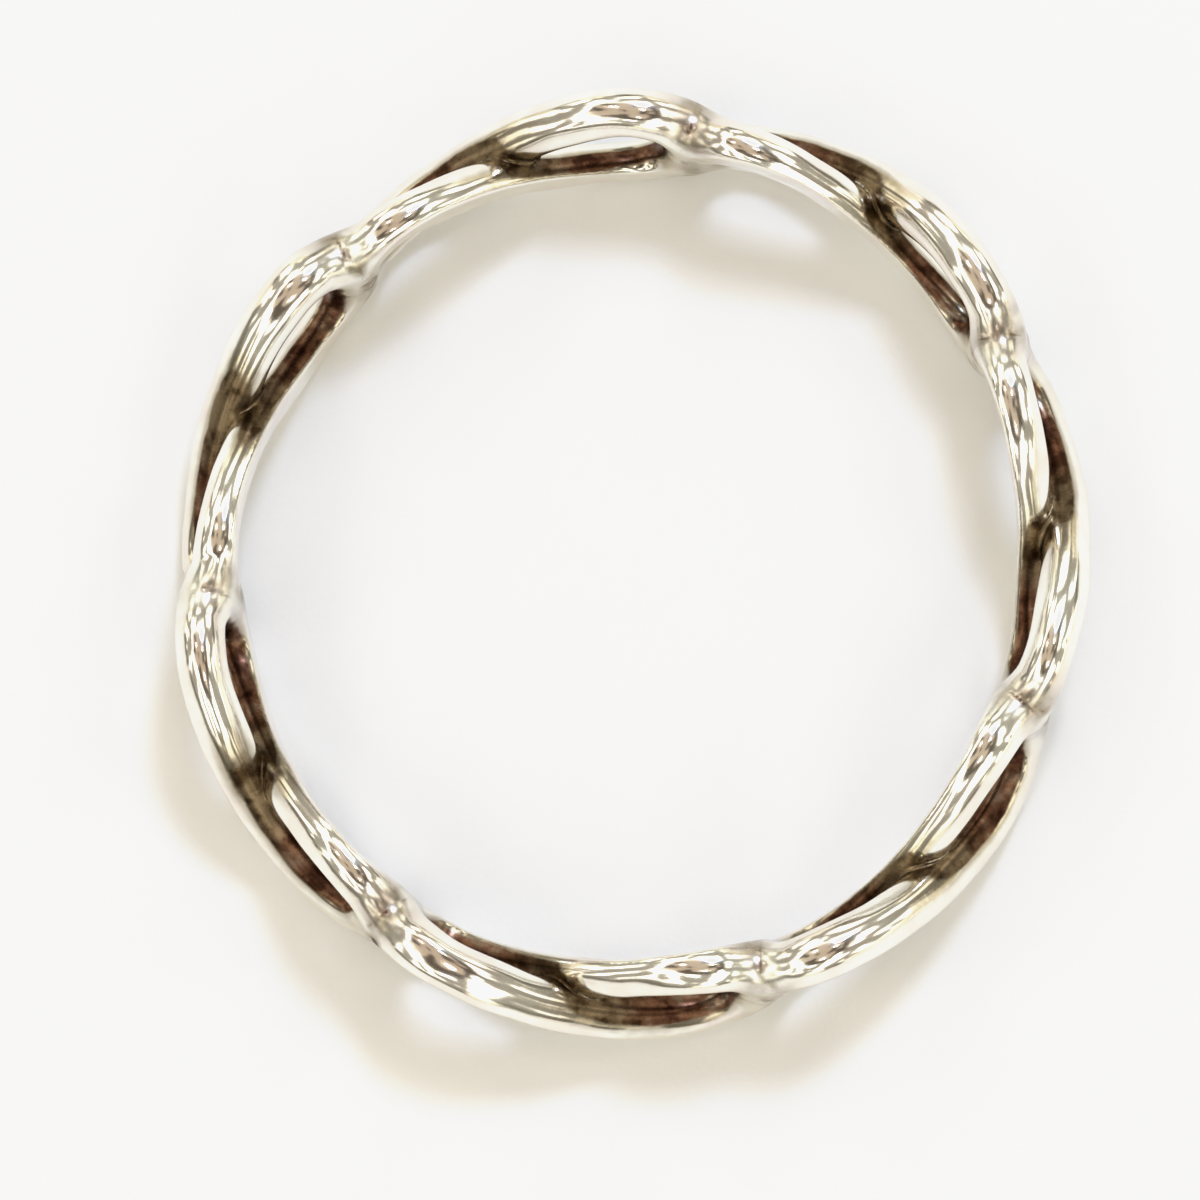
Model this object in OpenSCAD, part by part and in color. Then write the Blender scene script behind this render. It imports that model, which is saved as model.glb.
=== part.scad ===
// Infinity band ring: figure-eight wire links joined end to end into one silver band.
// Millimetres. The ring lies on its side: the finger goes through along Z, and Z = 0 is the plane it rests on.
// Directions around the ring are degrees counter-clockwise from +X, seen from above.

/* [Ring] */
// Inside diameter, the size of the finger
inner_d = 17.4; // [16:0.1:20]
// Height of the band along the finger
band_h = 3.9; // [3.5:0.1:4.4]
// Number of figure-eight links
link_count = 7; // [5:1:7]
// Direction of the crossing of the first link
first_link_dir = 56; // [0:1:90]

/* [Links] */
// Diameter of the wire
wire_d = 1.1; // [1:0.05:1.25]
// Distance from the inside of the band to the middle of the wire
wire_out = 0.65; // [0.6:0.05:0.8]
// How far each strand stands off its middle at the crossing, one outwards and one inwards
weave = 0.41; // [0.3:0.01:0.5]
// How far the ends of two neighbouring links run into each other
link_lap = 0.9; // [0.5:0.05:1.1]

/* [Solder] */
// Diameter of the solder seam between two links
seam_d = 1; // [0.8:0.05:1.1]
// Height of the solder seam between two links
seam_h = 3.2; // [2.4:0.1:3.4]
// Diameter of the solder that fills the corners of a crossing
fill_d = 0.84; // [0.7:0.02:1]
// Length of that solder along the band
fill_l = 1.8; // [1.4:0.1:2.1]

/* [Wear] */
// How far wear has pulled the round band out to an oval
oval_out = 0.19; // [0:0.01:0.25]
// Direction of the long axis of the oval
oval_dir = 72; // [0:1:180]
// How far wear has pulled it out at three sides
three_out = 0.07; // [0:0.01:0.1]
// Direction of the first of those three sides
three_dir = 60; // [0:1:120]

/* [Smoothness] */
// Steps along the wire of one link
link_steps = 40; // [24:8:40]
// Sides of the wire
wire_sides = 16; // [8:4:16]

/* [Hidden] */
inner_r = inner_d / 2;
wire_r = wire_d / 2;
mid_r = inner_r + wire_out;
// Direction from one link to the next, and the same along the middle of the wire
link_angle = 360 / link_count;
link_pitch = 2 * PI * mid_r / link_count;
// The middle of the wire reaches this far to each side of a crossing, and this far up and down
loop_half_l = (link_pitch + link_lap) / 2 - wire_r;
loop_half_h = band_h / 2 - wire_r;
rest_z = band_h / 2;
// The run of the wire is taken over this much of the turn, in degrees, to each side
run_reach = 0.5;
solder_sides = 12;
silver = [0.86, 0.85, 0.81];

// Wear moves the whole band in or out by this much in a direction
function wear(dir) = oval_out * cos(2 * (dir - oval_dir)) + three_out * cos(3 * (dir - three_dir));

// Direction at a length along the middle of the wire
function dir_at(base, length) = base + length / mid_r * 180 / PI;

// A point from its direction, its distance from the unworn axis and its height
function at(dir, r, z) = [(r + wear(dir)) * cos(dir), (r + wear(dir)) * sin(dir), z];

// Middle of the wire. The turn runs from 0 to 360 once around the figure eight:
// the first half is the strand that passes outside at the crossing, the second half passes inside.
function wire_middle(base, turn) =
    at(dir_at(base, -loop_half_l * cos(turn)), mid_r + weave * sin(turn), rest_z + loop_half_h * sin(2 * turn));

function unit(v) = v / norm(v);

// Which way the wire runs, taken over a short piece of it
function wire_run(base, turn) = unit(wire_middle(base, turn + run_reach) - wire_middle(base, turn - run_reach));

// The finger side of the band is ground: no point lies nearer the axis than the inside diameter
function ground(p) =
    let (dir = atan2(p[1], p[0]), r = norm([p[0], p[1]]), least = inner_r + wear(dir))
    r < least ? [p[0] * least / r, p[1] * least / r, p[2]] : p;

// One ring of points around the wire
function wire_ring(base, turn) =
    let (
        mid = wire_middle(base, turn),
        run = wire_run(base, turn),
        flat_out = unit([mid[0], mid[1], 0]),
        out = unit(flat_out - (flat_out * run) * run),
        side = cross(run, out)
    )
    [for (i = [0:wire_sides - 1])
        let (a = 360 * i / wire_sides) ground(mid + wire_r * (cos(a) * out + sin(a) * side))];

// Faces of a tube through a number of rings, closed at both ends
function tube_faces(rings, sides) = concat(
    [[for (i = [0:sides - 1]) i]],
    [for (k = [0:rings - 2], i = [0:sides - 1])
        let (a = k * sides + i, b = k * sides + (i + 1) % sides)
        each [[a, a + sides, b], [b, a + sides, b + sides]]],
    [[for (i = [sides - 1:-1:0]) (rings - 1) * sides + i]]
);

// One strand of a link, half of the figure eight. Both strands end in the same two rings.
module strand(base, half) {
    steps = link_steps / 2;
    rings = [for (k = [0:steps]) wire_ring(base, 360 * ((half * steps + k) % link_steps) / link_steps)];
    polyhedron(points = [for (ring = rings) each ring], faces = tube_faces(steps + 1, wire_sides));
}

// Solder upright between two links
module solder_seam(dir) {
    reach = (seam_h - seam_d) / 2;
    hull() {
        for (side = [-1, 1])
            translate(at(dir, mid_r, rest_z + side * reach)) sphere(d = seam_d, $fn = solder_sides);
    }
}

// Solder between the two strands of a link where they cross
module solder_fill(dir) {
    reach = (fill_l - fill_d) / 2;
    hull() {
        for (side = [-1, 1])
            translate(at(dir_at(dir, side * reach), mid_r, rest_z)) sphere(d = fill_d, $fn = solder_sides);
    }
}

module link(base) {
    strand(base, 0);
    strand(base, 1);
    solder_fill(base);
    solder_seam(base + link_angle / 2);
}

module infinity_band() {
    color(silver)
        for (i = [0:link_count - 1])
            link(first_link_dir - i * link_angle);
}

infinity_band();
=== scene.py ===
import math

import bpy
import numpy as np
from mathutils import Matrix, Vector


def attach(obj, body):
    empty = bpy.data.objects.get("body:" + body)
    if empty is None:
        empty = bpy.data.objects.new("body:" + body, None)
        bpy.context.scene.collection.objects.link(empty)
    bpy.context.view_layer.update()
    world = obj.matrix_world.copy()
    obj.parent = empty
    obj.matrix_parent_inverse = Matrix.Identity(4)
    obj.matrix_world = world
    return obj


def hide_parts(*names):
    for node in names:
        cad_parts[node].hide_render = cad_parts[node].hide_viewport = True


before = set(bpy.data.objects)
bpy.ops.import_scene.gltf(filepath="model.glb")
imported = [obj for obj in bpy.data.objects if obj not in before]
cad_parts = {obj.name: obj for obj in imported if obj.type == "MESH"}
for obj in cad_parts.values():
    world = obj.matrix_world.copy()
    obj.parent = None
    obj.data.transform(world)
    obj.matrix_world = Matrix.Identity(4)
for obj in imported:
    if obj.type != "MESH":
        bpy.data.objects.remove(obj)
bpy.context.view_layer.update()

MM_PER_M = 1000

# The ring, with the sizes of the CAD part in millimetres.
# Directions run counter-clockwise from +X, seen from above.
INNER_R = 8.7
MID_R = 9.35
WIRE_R = 0.55
WEAVE = 0.41
LINKS = 7
LINK_LAP = 0.9
LINK_ANGLE = 2 * math.pi / LINKS
LINK_PITCH = LINK_ANGLE * MID_R
FIRST_LINK = math.radians(56)
REST_Z = 1.95
# How far the middle of the wire reaches from a crossing, along the band and up or down
HALF_L = (LINK_PITCH + LINK_LAP) / 2 - WIRE_R
HALF_H = 1.4
# Wear pulled the round band out to an oval, and less at three sides
OVAL = 0.19
OVAL_DIR = math.radians(72)
THREE = 0.07
THREE_DIR = math.radians(60)

# The solder seam between two links. It reaches a little less far up and down than in the CAD part.
SEAM_R = 0.5
SEAM_REACH = 1.0
# Widths of the fillets in millimetres: between a link's strands, between links, around a seam, and where
# the finger side is ground
STRAND_FILLET = 0.12
LINK_FILLET = 0.2
SEAM_FILLET = 0.42
GROUND_FILLET = 0.08
# A groove or a joint is deepest where two wires are equally near, and ends where one is nearer by this much
GROOVE_WIDTH = 0.5
JOINT_WIDTH = 0.16

# The search for the nearest turn of a wire: samples along a strand, then steps from the best one
SAMPLES = 25
STEPS = 3
LONGEST_STEP = 0.2
LEAST_ROUNDNESS = 0.5
TURN_STEP = 1e-3

# Distance between the mesh's points, in millimetres
SPACING = 0.083
# How far each round moves a point towards its neighbours before it goes back to the surface
SMOOTHINGS = (0.6, 0.5, 0.4, 0.3, 0, 0)

# Wavelengths and usual heights, in millimetres, of the marks of polishing and of handwork's slight dents
MARKS = ((1.1, 0.011), (0.65, 0.009), (0.48, 0.004))
DENTS = ((2.6, 0.012), (1.5, 0.007), (0.9, 0.002))
WAVES_PER_LAYER = 6
# The marks are this much longer along the wire than around it, and lose this much of their height on the
# solder, over this width along the band
MARK_STRETCH = 5
MARK_LOSS = 0.7
MARK_LOSS_WIDTH = 0.5
# How far along the surface it is measured again to find its slope
SLOPE_STEP = 0.02

# The dull side of the ring, where the tarnish and the painted shade reach furthest, and the side whose outer
# rim is rubbed least
DULL_DIR = math.radians(172)
DULL_RIM_DIR = math.radians(238)
# How strongly a place is tarnished and darkened with painted shade, where 1 is full: deep in the band, in the
# groove of a crossing, on top of the dull side's crossings, and in corners of the notch between two links
DEEP = 1.25
DEEP_ON_DULL_SIDE = 0.3
DEEP_POWER = 1.4
GROOVE = 0.6
CROSSING = 1.2
OUTER_CORNER = 0.95
INNER_CORNER = 0.8
# How shut in a place is gets measured at these distances in millimetres; painted shade darkens it by this
# much more
SHUT_IN_DISTANCES = (0.25, 0.5, 0.8, 1.2)
SHUT_IN = 0.15
# How much is rubbed off again: by the finger, by the neighbouring fingers at the outer rim, how much less of
# that on the rim's dull side, and by polishing on the ridges between the marks
FINGER_RUB = 0.35
RIM_RUB = 0.75
DULL_RIM_LOSS = 0.5
RIDGE_RUB = 0.3
# Which corners are dark: an even share, and wavelengths and usual heights of the waves that vary it
CORNER_SHARE = 0.35
CORNER_PATCHES = ((2.4, 0.55), (1.1, 0.35))
CORNER_WANDER = ((1.3, 1.0),)
# Widths along the band in millimetres: of the tarnish and painted shade on a crossing and in a corner and how
# far the corner's wanders, and of the painted shade in the joint's crease and the dull solder
CROSSING_WIDTH = 1.2
CORNER_WIDTH = 0.22
CORNER_WANDER_WIDTH = 0.1
JOINT_LINE_WIDTH = 0.3
SOLDER_WIDTH = 0.45
# From a crossing to the middle of a loop's hollow, along the band
HOLLOW_MIDDLE = 2.3

# The photograph's view: how far the ring's axis leans, and the camera's distance in metres
TILT = math.radians(8.0)
TILT_DIR = math.radians(-70)
DISTANCE = 0.17
SENSOR_MM = 36
IMAGE_PX = 1200
PIXELS_PER_MM = 45.4
CENTRE_PX = (632.3, 562.4)


def make_camera():
    toward = Vector((
        math.sin(TILT) * math.cos(TILT_DIR),
        math.sin(TILT) * math.sin(TILT_DIR),
        math.cos(TILT),
    ))
    right = Vector((0, 1, 0)).cross(toward).normalized()
    up = toward.cross(right)
    data = bpy.data.cameras.new("camera")
    data.sensor_width = SENSOR_MM
    data.lens = SENSOR_MM * DISTANCE * MM_PER_M * PIXELS_PER_MM / IMAGE_PX
    data.clip_start = 0.002
    data.clip_end = 5
    data.shift_x = (IMAGE_PX / 2 - CENTRE_PX[0]) / IMAGE_PX
    data.shift_y = (CENTRE_PX[1] - IMAGE_PX / 2) / IMAGE_PX
    camera = bpy.data.objects.new("camera", data)
    bpy.context.scene.collection.objects.link(camera)
    turn = Matrix((right, up, toward)).transposed().to_4x4()
    camera.matrix_world = Matrix.Translation(Vector((0, 0, REST_Z / MM_PER_M)) + toward * DISTANCE) @ turn
    bpy.context.scene.camera = camera


make_camera()


# Helpers that take many points or values at once

def dot(a, b):
    return np.einsum("ij,ij->i", a, b)


def unit(v):
    return v / np.maximum(np.linalg.norm(v, axis=1), 1e-9)[:, None]


def direction_of(points):
    return np.arctan2(points[:, 1], points[:, 0])


def fade(value, start, width):
    """0 up to the start, rising evenly to 1 over the width."""
    return np.clip((value - start) / width, 0, 1)


def hump(value, width):
    """1 at 0, falling off smoothly to both sides."""
    return np.exp(-((value / width) ** 2))


def waves(places, shift, layers, seed):
    """A sum of sine waves in fixed random directions. Each layer has a wavelength, in the places' units, and
    a usual height. The shift moves each wave by an amount of its own, so that the links differ."""
    rng = np.random.default_rng(seed)
    total = np.zeros(len(places))
    for length, height in layers:
        for _ in range(WAVES_PER_LAYER):
            way = rng.normal(size=3)
            way = way / np.linalg.norm(way) * 2 * math.pi / length
            total += height * np.sin(places @ way + shift * rng.uniform(3, 20) + rng.uniform(0, 2 * math.pi))
    return total / math.sqrt(WAVES_PER_LAYER / 2)


# The ring's surface: the distance to it from any point, in millimetres

def wear(direction):
    return OVAL * np.cos(2 * (direction - OVAL_DIR)) + THREE * np.cos(3 * (direction - THREE_DIR))


def place(direction, radius, z):
    r = radius + wear(direction)
    return np.stack([r * np.cos(direction), r * np.sin(direction), z + 0 * r], axis=-1)


def wire_middle(base, turn):
    """Middle of a link's wire. The turn goes once around the figure eight, along the outer strand first."""
    direction = base - HALF_L * np.cos(turn) / MID_R
    return place(direction, MID_R + WEAVE * np.sin(turn), REST_Z + HALF_H * np.sin(2 * turn))


def wire_lengths():
    """Turns once around the figure eight, half a degree apart, and the length of wire up to each."""
    turn = np.linspace(0, 2 * math.pi, 721)
    steps = np.linalg.norm(np.diff(wire_middle(0, turn), axis=0), axis=1)
    return turn, np.concatenate([[0], np.cumsum(steps)])


TURNS, LENGTHS = wire_lengths()


def roughly_nearest(points, base, start, end):
    """The sample of a strand that is nearest to each point."""
    best = np.full(len(points), np.inf)
    turn = np.zeros(len(points))
    for sample in np.linspace(start, end, SAMPLES):
        d = np.linalg.norm(points - wire_middle(base, np.full(len(points), sample)), axis=1)
        turn = np.where(d < best, sample, turn)
        best = np.minimum(d, best)
    return turn


def nearest_on_strand(points, base, start, end, turn=None):
    """Distance to a strand, the way out from it with the height of its marks there, and the nearest turn."""
    if turn is None:
        turn = roughly_nearest(points, base, start, end)
    for _ in range(STEPS):
        here = wire_middle(base, turn)
        ahead = wire_middle(base, turn + TURN_STEP)
        behind = wire_middle(base, turn - TURN_STEP)
        slope = (ahead - behind) / (2 * TURN_STEP)
        bend = (ahead - 2 * here + behind) / TURN_STEP ** 2
        off = points - here
        roundness = np.maximum(dot(slope, slope) - dot(off, bend), LEAST_ROUNDNESS)
        step = np.clip(dot(off, slope) / roundness, -LONGEST_STEP, LONGEST_STEP)
        turn = np.clip(turn + step, start, end)
    here = wire_middle(base, turn)
    off = points - here
    way = unit(off)
    run = unit(slope)
    out = here * np.array([1, 1, 0])
    out = unit(out - run * dot(out, run)[:, None])
    side = np.cross(run, out)
    along = np.interp(turn, TURNS, LENGTHS)
    on_wire = np.stack([along / MARK_STRETCH, WIRE_R * dot(way, out), WIRE_R * dot(way, side)], axis=1)
    marks = waves(on_wire, base, MARKS, seed=3)
    return np.linalg.norm(off, axis=1) - WIRE_R, np.column_stack([way, marks]), turn


def nearest_on_rod(points, a, b, radius):
    """Distance to a rod with round ends, and the way out from it, without marks."""
    along = b - a
    share = np.clip(dot(points - a, along) / dot(along, along), 0, 1)
    off = points - a - share[:, None] * along
    length = np.linalg.norm(off, axis=1)
    return length - radius, np.column_stack([unit(off), 0 * length])


def blend(first, second, width):
    """Joins two surfaces with a fillet."""
    d1, n1 = first
    d2, n2 = second
    share = np.clip(0.5 + 0.5 * (d2 - d1) / width, 0, 1)
    d = d2 * (1 - share) + d1 * share - width * share * (1 - share)
    return d, n2 * (1 - share)[:, None] + n1 * share[:, None]


class Surface:
    """The ring near some points, which keep their place in the pattern of links when they move a little."""

    def __init__(self, points, turns=None):
        links = (direction_of(points) - FIRST_LINK) / LINK_ANGLE
        nearest = np.round(links)
        self.base = FIRST_LINK + nearest * LINK_ANGLE
        self.side = np.where(links > nearest, 1.0, -1.0)
        self.turns = dict(turns or {})

    def along(self, points):
        """Length along the band from the nearest crossing."""
        return ((direction_of(points) - self.base + math.pi) % (2 * math.pi) - math.pi) * MID_R

    def from_joint(self, points):
        """Length along the band past the nearest joint between links, so below 0 within the link."""
        return np.abs(self.along(points)) - LINK_PITCH / 2

    def measure(self, points):
        """Distance to the surface, the way out from it, and the height of the polishing marks. Also sets how
        deep each point is in a crossing's groove and in a joint, and how far it is past the finger side."""
        own = self.base
        neighbour = own + self.side * LINK_ANGLE
        found = {}
        for name, base, start, end in (
            ("outer", own, 0, math.pi), ("inner", own, math.pi, 2 * math.pi),
            ("next_outer", neighbour, 0, math.pi), ("next_inner", neighbour, math.pi, 2 * math.pi),
        ):
            d, n, turn = nearest_on_strand(points, base, start, end, self.turns.get(name))
            self.turns[name] = turn
            found[name] = (d, n)
        link = blend(found["outer"], found["inner"], STRAND_FILLET)
        next_link = blend(found["next_outer"], found["next_inner"], STRAND_FILLET)
        self.groove = 1 - fade(np.abs(found["outer"][0] - found["inner"][0]), 0, GROOVE_WIDTH)
        self.joint = 1 - fade(np.abs(link[0] - next_link[0]), 0, JOINT_WIDTH)
        seam_dir = own + self.side * LINK_ANGLE / 2
        low = place(seam_dir, MID_R, REST_Z - SEAM_REACH)
        high = place(seam_dir, MID_R, REST_Z + SEAM_REACH)
        seam = nearest_on_rod(points, low, high, SEAM_R)
        d, n = blend(blend(link, next_link, LINK_FILLET), seam, SEAM_FILLET)

        # the finger side is ground: what lies nearer the axis is cut away
        flat = points * np.array([1, 1, 0])
        r = np.linalg.norm(flat, axis=1)
        self.to_finger = wear(direction_of(points)) + INNER_R - r
        outward = np.column_stack([flat / r[:, None], 0 * r])
        d, n = blend((-d, -n), (-self.to_finger, outward), GROUND_FILLET)
        d, n = -d, -n
        return d, unit(n[:, :3]), n[:, 3]


# The ring's mesh

def read(items, name, width, kind):
    """A property of all items of a mesh, as rows of numbers."""
    values = np.empty(len(items) * width, dtype=kind)
    items.foreach_get(name, values)
    return values.reshape(-1, width)


def fine_mesh():
    """The CAD solid in millimetres, meshed anew in small quads."""
    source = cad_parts["infinity_band"].data.copy()
    source.transform(Matrix.Scale(MM_PER_M, 4))
    ring = bpy.data.objects.new("ring", source)
    bpy.context.scene.collection.objects.link(ring)
    remesh = ring.modifiers.new("fine", "REMESH")
    remesh.mode = "VOXEL"
    remesh.voxel_size = SPACING
    remesh.adaptivity = 0
    mesh = bpy.data.meshes.new_from_object(ring.evaluated_get(bpy.context.evaluated_depsgraph_get()))
    ring.modifiers.clear()
    ring.data = mesh
    mesh.materials.clear()
    return ring


def smoothed(points, edges):
    """Each point moved to the middle of its neighbours."""
    total = np.zeros_like(points)
    for axis in range(3):
        total[:, axis] = np.bincount(edges[:, 0], points[edges[:, 1], axis], len(points)) + np.bincount(
            edges[:, 1], points[edges[:, 0], axis], len(points)
        )
    return total / np.bincount(edges.ravel(), minlength=len(points))[:, None]


def settle(surface, points, edges):
    """Lays the points evenly on the ring's surface."""
    for pull in SMOOTHINGS:
        if pull:
            points = points * (1 - pull) + smoothed(points, edges) * pull
        d, n, _ = surface.measure(points)
        points = points - n * d[:, None]
    return points


def unevenness(surface, points, marks):
    """Height of the polishing marks, fainter on the solder, and of the dents."""
    on_solder = hump(surface.from_joint(points), MARK_LOSS_WIDTH)
    return marks * (1 - MARK_LOSS * on_solder) + waves(points, 0, DENTS, seed=7)


def uneven_normals(surface, points, n, uneven):
    """Normals of the uneven surface, from its slope two ways."""
    # an axis that the normal is not close to gives the first way along the surface
    axis = np.where(np.abs(n[:, 2:]) < 0.7, [[0, 0, 1.0]], [[1.0, 0, 0]])
    first = unit(np.cross(n, axis))
    normals = n.copy()
    for way in (first, np.cross(n, first)):
        near = points + way * SLOPE_STEP
        slope = (unevenness(surface, near, surface.measure(near)[2]) - uneven) / SLOPE_STEP
        normals -= way * slope[:, None]
    return unit(normals)


def turn_quads(mesh, normals):
    """Turns each quad so that it is split between the two corners whose normals agree best."""
    corners = read(mesh.loops, "vertex_index", 1, np.int32).reshape(-1, 4)
    edges = read(mesh.loops, "edge_index", 1, np.int32).reshape(-1, 4)
    agree = [dot(normals[corners[:, i]], normals[corners[:, i + 2]]) for i in range(2)]
    turned = agree[1] > agree[0]
    corners[turned] = np.roll(corners[turned], -1, axis=1)
    edges[turned] = np.roll(edges[turned], -1, axis=1)
    mesh.loops.foreach_set("vertex_index", corners.ravel())
    mesh.loops.foreach_set("edge_index", edges.ravel())


def measure_shut_in(surface, points, n):
    """How near other metal comes at some distances straight out from each place, from 0 in the open to 1."""
    shut_in = np.zeros(len(points))
    for reach in SHUT_IN_DISTANCES:
        away = Surface(points, surface.turns).measure(points + n * reach)[0]
        shut_in += np.clip(1 - away / reach, 0, 1) / len(SHUT_IN_DISTANCES)
    return shut_in


def colour_layers(surface, points, n, marks):
    """What the silver's colours follow, by name, for each point of the mesh."""
    direction = direction_of(points)
    radial = np.stack([np.cos(direction), np.sin(direction)], axis=1)
    tangent = np.stack([-np.sin(direction), np.cos(direction)], axis=1)
    facing_out = dot(n[:, :2], radial)
    facing_along = dot(n[:, :2], tangent)
    along = surface.along(points)
    from_joint = surface.from_joint(points)
    dull_side = np.clip(np.cos(direction - DULL_DIR), 0, 1)

    # painted shade and painted reflection where a place faces the middle of its own loop's hollow
    to_hollow = np.stack([np.sign(along) * HOLLOW_MIDDLE - along, REST_Z - points[:, 2]], axis=1)
    hollow = np.clip(dot(np.stack([facing_along, n[:, 2]], axis=1), unit(to_hollow)), 0, 1)
    # painted shade where a place faces up or down at half the band's height, and in the groove of a crossing
    deep = DEEP + DEEP_ON_DULL_SIDE * dull_side
    deep = deep * (1 - np.abs(points[:, 2] - REST_Z) / REST_Z) * np.abs(n[:, 2]) ** DEEP_POWER
    groove = surface.groove * (1 - fade(np.abs(along), start=0.75, width=1.5))
    # tarnish and painted shade on top of the dull side's crossings
    crossing = CROSSING * dull_side * hump(along, CROSSING_WIDTH) * np.clip(1.5 * n[:, 2], 0, 1)
    # tarnish and painted shade in some corners of the notch between two links, on the outer and the inner
    # side
    patches = np.clip(CORNER_SHARE + waves(points, 0, CORNER_PATCHES, seed=11), 0, 1)
    wander = CORNER_WANDER_WIDTH * waves(points, 0, CORNER_WANDER, seed=12)
    notch = patches * hump(from_joint + wander, CORNER_WIDTH)
    corner = notch * fade(np.abs(facing_out), start=0.25, width=0.4)
    corner *= np.where(facing_out > 0, OUTER_CORNER, INNER_CORNER)

    # the finger rubs its side clean, and the neighbouring fingers rub the outer rim, but not the corners
    kept = 1 - FINGER_RUB + FINGER_RUB * fade(-surface.to_finger, start=0.05, width=0.2)
    rim = fade(facing_out, start=0.35, width=0.4) * (1 - notch)
    rim *= 1 - DULL_RIM_LOSS * np.clip(np.cos(direction - DULL_RIM_DIR), 0, 1)
    # painted shade where other metal comes near, like ambient occlusion
    shut_in = measure_shut_in(surface, points, n) + SHUT_IN
    # each place's tarnish and painted shade, from the strongest of these
    tarnish_and_shade = np.maximum.reduce([np.hypot(hollow, deep + GROOVE * groove), shut_in, crossing])
    tarnish_and_shade = np.maximum(tarnish_and_shade * kept * (1 - RIM_RUB * rim), corner)
    # polishing takes it off the ridges between the marks
    tarnish_and_shade -= RIDGE_RUB * fade(marks, start=0.012, width=0.014) * np.clip(1 - crossing, 0, 1)
    return {
        "tarnish_and_shade": tarnish_and_shade,
        "hollow": hollow,
        # painted shade in the crease where two links meet
        "joint": surface.joint * hump(from_joint, JOINT_LINE_WIDTH),
        "solder": hump(from_joint, SOLDER_WIDTH),
    }


def make_ring():
    ring = fine_mesh()
    mesh = ring.data
    points = read(mesh.vertices, "co", 3, np.float64)
    edges = read(mesh.edges, "vertices", 2, np.int32)
    surface = Surface(points)
    points = settle(surface, points, edges)
    _, n, marks = surface.measure(points)
    layers = colour_layers(surface, points, n, marks)

    uneven = unevenness(surface, points, marks)
    normals = uneven_normals(surface, points, n, uneven)
    points = points + n * uneven[:, None]
    # nothing goes below the floor
    points[:, 2] = np.maximum(points[:, 2], 0)
    turn_quads(mesh, normals)

    mesh.vertices.foreach_set("co", (points / MM_PER_M).ravel())
    for name, values in layers.items():
        layer = mesh.attributes.new(name, "FLOAT", "POINT")
        layer.data.foreach_set("value", values.astype(np.float32))
    mesh.polygons.foreach_set("use_smooth", np.ones(len(mesh.polygons), dtype=bool))
    mesh.update()
    mesh.normals_split_custom_set_from_vertices(normals)
    return ring


# Materials

# Sockets of a Mix node for colours: its share, its two colours, and its result
MIX_SHARE = 0
MIX_FIRST = 6
MIX_SECOND = 7
MIX_RESULT = 2

SILVER_COOL = (0.97, 0.962, 0.885, 1)
SILVER_WARM = (0.905, 0.85, 0.78, 1)
SOLDER_OLIVE = (0.36, 0.315, 0.235, 1)
SOLDER_PINK = (0.50, 0.43, 0.37, 1)
# A lighter stain with painted shade at the edge of the dark tarnish and painted shade
STAIN_AND_SHADE = (0.40, 0.34, 0.235, 1)
# Colours of the tarnish and the painted shade and painted reflection: olive, and brown in the loops' hollows
OLIVE_DARK = (0.056, 0.034, 0.016, 1)
OLIVE_LIGHT = (0.21, 0.155, 0.094, 1)
BROWN_DARK = (0.043, 0.017, 0.010, 1)
BROWN_MIDDLE = (0.135, 0.065, 0.038, 1)
BROWN_LIGHT = (0.23, 0.155, 0.11, 1)
# Painted shade in the crease between two links
JOINT_SHADE = (0.20, 0.13, 0.09, 1)
PAPER_LIGHT = (0.90, 0.90, 0.90, 1)
PAPER_DIM = (0.875, 0.875, 0.875, 1)


class Shading:
    """A node tree under construction. A noise's scale is in waves to the metre, or to a direction's unit."""

    def __init__(self, tree):
        self.tree = tree

    def add(self, kind, inputs=None, **settings):
        node = self.tree.nodes.new("ShaderNode" + kind)
        for name, value in settings.items():
            setattr(node, name, value)
        for name, value in (inputs or {}).items():
            self.feed(node, name, value)
        return node

    def feed(self, node, name, value):
        if isinstance(value, bpy.types.NodeSocket):
            self.tree.links.new(value, node.inputs[name])
        else:
            node.inputs[name].default_value = value

    def attribute(self, name):
        return self.add("Attribute", attribute_name=name).outputs["Fac"]

    def noise(self, place, scale, detail, roughness=0.5):
        inputs = {"Vector": place, "Scale": scale, "Detail": detail, "Roughness": roughness}
        return self.add("TexNoise", inputs).outputs["Fac"]

    def remap(self, value, low, high, to_low=0.0, to_high=1.0):
        inputs = {"Value": value, "From Min": low, "From Max": high, "To Min": to_low, "To Max": to_high}
        return self.add("MapRange", inputs, interpolation_type="SMOOTHSTEP").outputs["Result"]

    def math(self, operation, first, second):
        return self.add("Math", {0: first, 1: second}, operation=operation).outputs[0]

    def sum(self, first, second):
        return self.math("ADD", first, second)

    def product(self, first, second):
        return self.math("MULTIPLY", first, second)

    def both_ways(self, noise, height):
        """A noise around 0 instead of around a half."""
        return self.product(self.math("SUBTRACT", noise, 0.5), height)

    def mix(self, share, first, second):
        inputs = {MIX_SHARE: share, MIX_FIRST: first, MIX_SECOND: second}
        return self.add("Mix", inputs, data_type="RGBA").outputs[MIX_RESULT]

    def bump(self, height, strength, distance):
        return self.add("Bump", {"Strength": strength, "Distance": distance, "Height": height}).outputs[0]

    def shader(self, inputs):
        out = self.add("OutputMaterial")
        self.tree.links.new(self.add("BsdfPrincipled", inputs).outputs[0], out.inputs[0])


def new_material(name):
    material = bpy.data.materials.new(name)
    material.use_nodes = True
    material.node_tree.nodes.clear()
    return material, Shading(material.node_tree)


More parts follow.
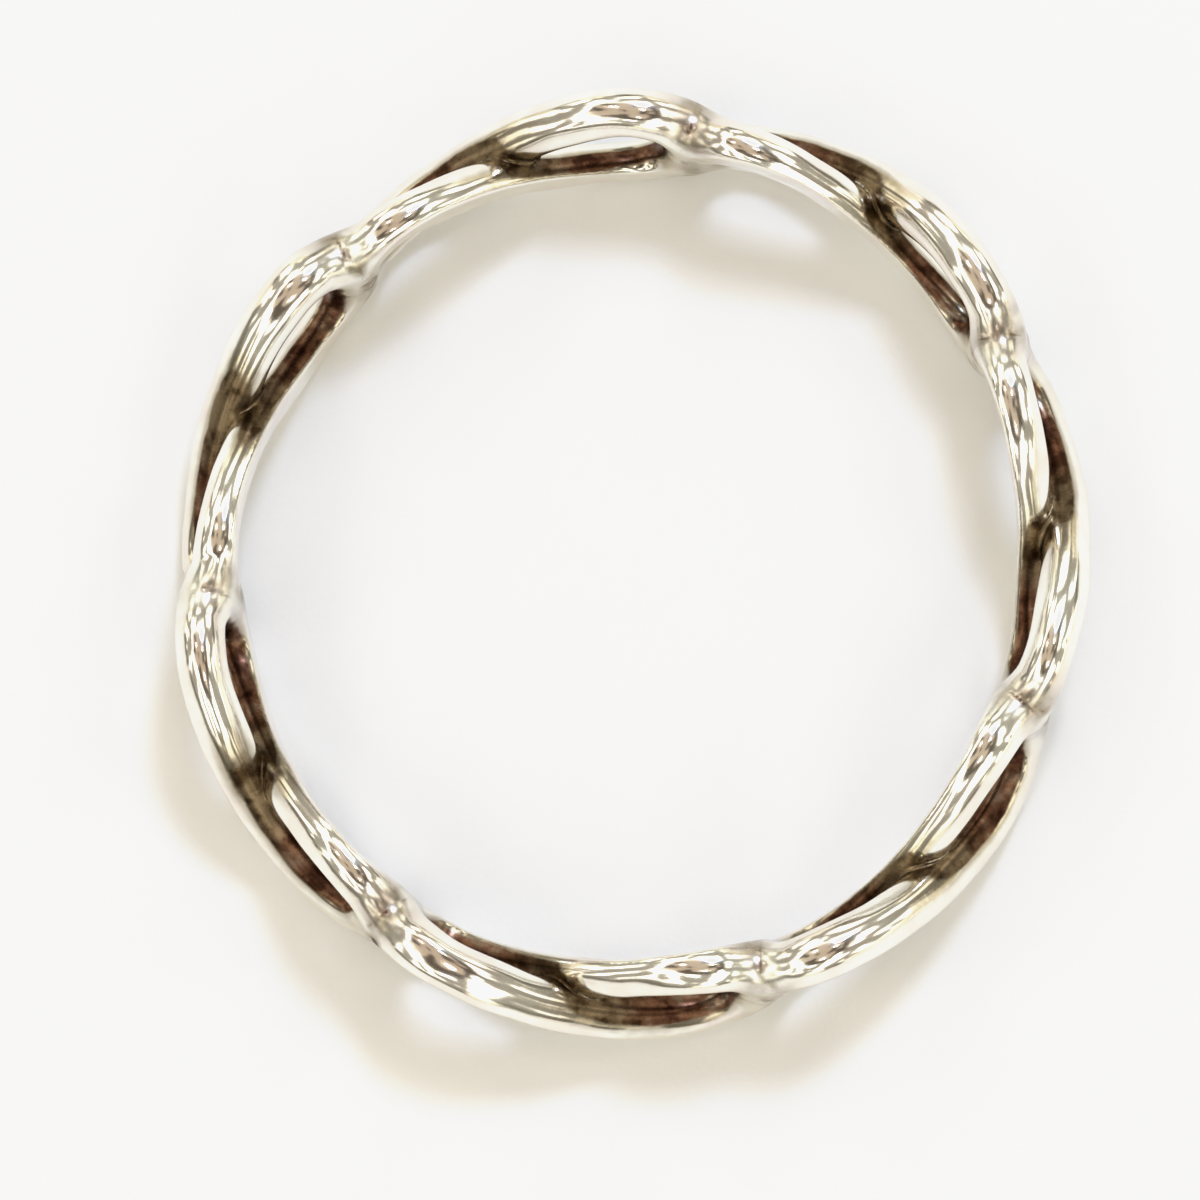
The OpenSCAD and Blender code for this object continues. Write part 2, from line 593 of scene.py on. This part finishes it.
def silver():
    material, build = new_material("polished_silver")
    place = build.add("TexCoord").outputs["Object"]
    blotches = build.noise(place, scale=800, detail=3)
    specks = build.noise(place, scale=3500, detail=3)
    mottled = build.noise(place, scale=1500, detail=4, roughness=0.6)
    solder = build.attribute("solder")

    # polished metal, duller on the solder
    metal = build.mix(build.remap(blotches, 0.35, 0.65), SILVER_COOL, SILVER_WARM)
    dull = build.product(solder, build.remap(blotches, 0.4, 0.58, 0.25, 0.9))
    metal = build.mix(dull, metal, build.mix(build.remap(specks, 0.4, 0.6), SOLDER_OLIVE, SOLDER_PINK))

    # dark tarnish and painted shade where the cloth does not reach, brown in the loops' hollows and olive
    # elsewhere
    uneven = build.both_ways(build.noise(place, scale=170, detail=1), 0.3)
    reach = build.sum(build.attribute("tarnish_and_shade"), build.sum(build.both_ways(specks, 0.22), uneven))
    tarnish_and_shade = build.remap(reach, 0.62, 0.90)
    # a lighter stain with painted shade around the dark tarnish and painted shade
    metal = build.mix(build.product(build.remap(reach, 0.18, 0.68), 0.75), metal, STAIN_AND_SHADE)
    olive = build.mix(build.remap(mottled, 0.4, 0.62), OLIVE_DARK, OLIVE_LIGHT)
    brown = build.mix(build.remap(mottled, 0.36, 0.52), BROWN_DARK, BROWN_MIDDLE)
    brown = build.mix(build.remap(mottled, 0.50, 0.66), brown, BROWN_LIGHT)
    in_hollow = build.remap(build.attribute("hollow"), 0.35, 0.9)
    colour = build.mix(tarnish_and_shade, metal, build.mix(in_hollow, olive, brown))

    # painted shade in the crease between two links, broken where solder covers it
    bare = build.remap(build.noise(place, scale=2300, detail=1), 0.42, 0.58)
    joint = build.product(build.remap(build.attribute("joint"), 0.45, 0.85), bare)
    colour = build.mix(joint, colour, JOINT_SHADE)

    roughness = build.sum(build.remap(tarnish_and_shade, 0, 1, 0.10, 0.24), build.product(specks, 0.06))
    roughness = build.sum(roughness, build.product(solder, 0.14))
    dents = build.bump(build.noise(place, scale=2600, detail=3), strength=0.35, distance=0.00001)
    build.shader({"Base Color": colour, "Metallic": 1.0, "Roughness": roughness, "Normal": dents})
    return material


def paper():
    material, build = new_material("pale_surface")
    place = build.add("TexCoord").outputs["Object"]
    tint = build.mix(build.noise(place, scale=160, detail=5), PAPER_LIGHT, PAPER_DIM)
    grain = build.bump(build.noise(place, scale=6000, detail=2), strength=0.1, distance=0.00005)
    build.shader({"Base Color": tint, "Roughness": 0.75, "Normal": grain})
    return material


def make_floor():
    bpy.ops.mesh.primitive_plane_add(size=1.2, location=(0, 0, 0))
    floor = bpy.context.object
    floor.name = "floor"
    floor.data.materials.append(paper())


# Light

# Heights in the room, where 0 is the horizon and 1 straight up: it is plain below the first, and has all its
# patches above the second
PLAIN_BELOW = 0.075
PATCHES_ABOVE = 0.11
# The room's colours by height
ROOM = (
    (PLAIN_BELOW, (0.90, 0.885, 0.84, 1)),
    (PATCHES_ABOVE, (0.42, 0.38, 0.29, 1)),
    (0.22, (0.50, 0.46, 0.36, 1)),
    (0.30, (1.0, 0.96, 0.84, 1)),
    (0.76, (1.0, 0.96, 0.84, 1)),
    (0.85, (0.31, 0.255, 0.20, 1)),
    (1.0, (0.28, 0.225, 0.175, 1)),
)
# What the dark and the bright patches multiply them by
DARK_PATCH = (0.38, 0.368, 0.355, 1)
BRIGHT_PATCH = (2.03, 2.045, 2.035, 1)
NO_PATCH = (1, 1, 1, 1)

# How bright tones are shown: light in the scene, and its tone in the picture
TONES = (
    (0.30, 0.30), (0.50, 0.515), (0.60, 0.622), (0.66, 0.687), (0.72, 0.762), (0.80, 0.862),
    (0.88, 0.912), (0.95, 0.935), (1.10, 0.952), (1.50, 0.98),
)
WHITE = (3.0, 1.0)
# The curve of a curve mapping that takes all three colours together
ALL_COLOURS = 3


def make_room():
    """Soft light from all round: plain at the horizon, in brighter and darker patches like the walls of a
    room above it, and dim overhead."""
    world = bpy.data.worlds.new("studio")
    bpy.context.scene.world = world
    world.use_nodes = True
    build = Shading(world.node_tree)
    way = build.add("TexCoord").outputs["Generated"]
    height = build.add("SeparateXYZ", {"Vector": way}).outputs["Z"]
    above = build.remap(height, PLAIN_BELOW, PATCHES_ABOVE)
    wander = build.both_ways(build.noise(way, scale=5.0, detail=1), 0.16)
    ramp = build.add("ValToRGB", {"Fac": build.sum(height, build.product(wander, above))})
    stops = ramp.color_ramp.elements
    for stop, (position, colour) in zip(stops, (ROOM[0], ROOM[-1])):
        stop.position = position
        stop.color = colour
    for position, colour in ROOM[1:-1]:
        stops.new(position).color = colour
    bright = build.remap(build.noise(way, scale=3.4, detail=1), 0.495, 0.525)
    level = build.mix(above, NO_PATCH, build.mix(bright, DARK_PATCH, BRIGHT_PATCH))
    light = build.add("VectorMath", {0: ramp.outputs["Color"], 1: level}, operation="MULTIPLY")
    build.feed(world.node_tree.nodes["Background"], "Color", light.outputs[0])


def make_panel(name, turn, rise, distance, size, power, colour):
    """A soft lamp aimed at the ring. Turn and rise are in degrees, from +X and from the floor, distance and
    size in metres, and power in watts."""
    turn = math.radians(turn)
    rise = math.radians(rise)
    way = Vector((math.cos(rise) * math.cos(turn), math.cos(rise) * math.sin(turn), math.sin(rise)))
    place = way * distance
    data = bpy.data.lights.new(name, "AREA")
    data.shape = "RECTANGLE"
    data.size, data.size_y = size
    data.energy = power
    data.color = colour
    lamp = bpy.data.objects.new(name, data)
    lamp.location = place
    lamp.rotation_euler = (-place).to_track_quat("-Z", "Y").to_euler()
    bpy.context.scene.collection.objects.link(lamp)


def make_light():
    make_room()
    make_panel("key", 66, 58, distance=0.65, size=(0.12, 0.12), power=1.47, colour=(0.58, 0.71, 1.0))
    for name, turn, rise in (
        ("fill_right", 20, 50), ("fill_left", 165, 52), ("fill_front", 262, 48), ("fill_corner", 318, 54),
        ("fill_back", 215, 55),
    ):
        make_panel(name, turn, rise, distance=0.6, size=(0.12, 0.07), power=0.06, colour=(1.0, 0.98, 0.94))
    for name, turn, rise in (("spot_left", 140, 70), ("spot_right", 35, 74), ("spot_front", 285, 68)):
        make_panel(name, turn, rise, distance=0.6, size=(0.03, 0.03), power=0.05, colour=(1.0, 0.97, 0.92))


def soften_highlights():
    """Bright tones draw together just under white, as a phone's camera shows them."""
    view = bpy.context.scene.view_settings
    view.view_transform = "Standard"
    view.use_curve_mapping = True
    mapping = view.curve_mapping
    mapping.use_clip = False
    curve = mapping.curves[ALL_COLOURS]
    curve.points[1].location = WHITE
    for light, shown in TONES:
        curve.points.new(light, shown)
    mapping.update()


ring = make_ring()
ring.data.materials.append(silver())
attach(ring, "root")
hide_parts("infinity_band")
make_floor()
make_light()
soften_highlights()
